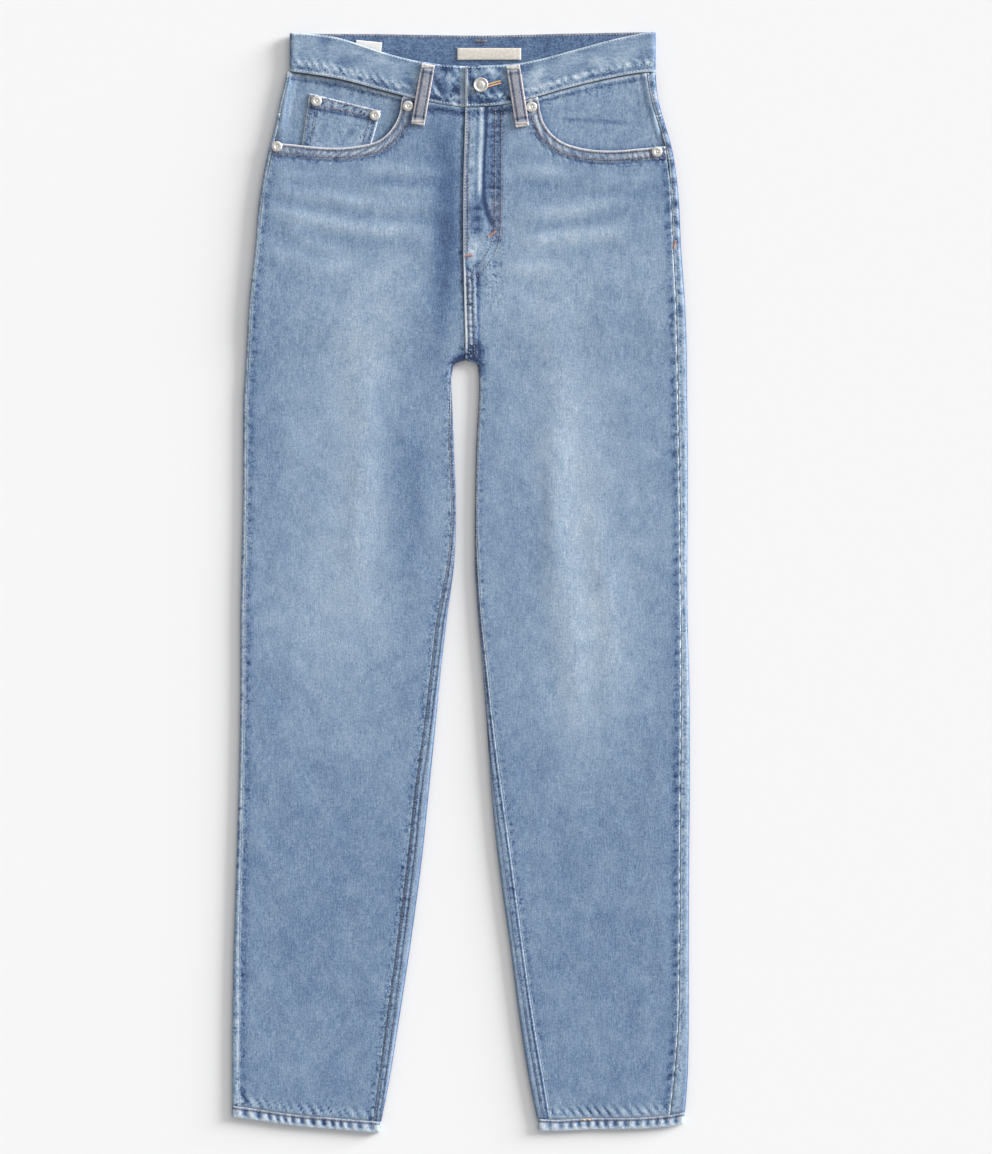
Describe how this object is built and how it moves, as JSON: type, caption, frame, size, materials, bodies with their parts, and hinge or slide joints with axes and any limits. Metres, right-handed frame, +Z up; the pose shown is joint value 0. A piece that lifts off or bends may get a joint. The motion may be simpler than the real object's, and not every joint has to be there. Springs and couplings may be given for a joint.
{
  "type": "jeans laid flat",
  "caption": "Straight tapered five-pocket jeans laid flat with the front upwards, washed blue denim, high waist, buttoned fly and stitched hems",
  "frame": {"origin": "middle of the bounding box at the surface that the jeans lie on", "axes": "+X towards the wearer's left, +Y from the hems towards the waist, +Z up out of the front"},
  "size_m": [0.4584, 1.1022, 0.0131],
  "materials": {
    "denim": "washed blue denim twill, matt",
    "denim_inside": "denim that has been less washed, matt",
    "label_cloth": "cream woven tape",
    "metal": "pale silver metal, satin"
  },
  "bodies": {
    "root": {"front_right": "denim", "front_left": "denim", "back_right": "denim", "back_left": "denim", "yoke_right": "denim", "yoke_left": "denim", "hem_right": "denim", "hem_left": "denim", "waistband": "denim", "pocket_facing_right": "denim_inside", "pocket_facing_left": "denim_inside", "coin_pocket": "denim", "back_pocket_right": "denim", "back_pocket_left": "denim", "loop_front_right": "denim", "loop_front_left": "denim", "loop_back_right": "denim", "loop_centre_back": "denim", "loop_back_left": "denim", "label_centre": "label_cloth", "label_side": "label_cloth", "button": "metal", "rivet_coin_outer": "metal", "rivet_coin_inner": "metal", "rivet_right_inner": "metal", "rivet_right_outer": "metal", "rivet_left_inner": "metal", "rivet_left_outer": "metal"}
  },
  "joints": []
}
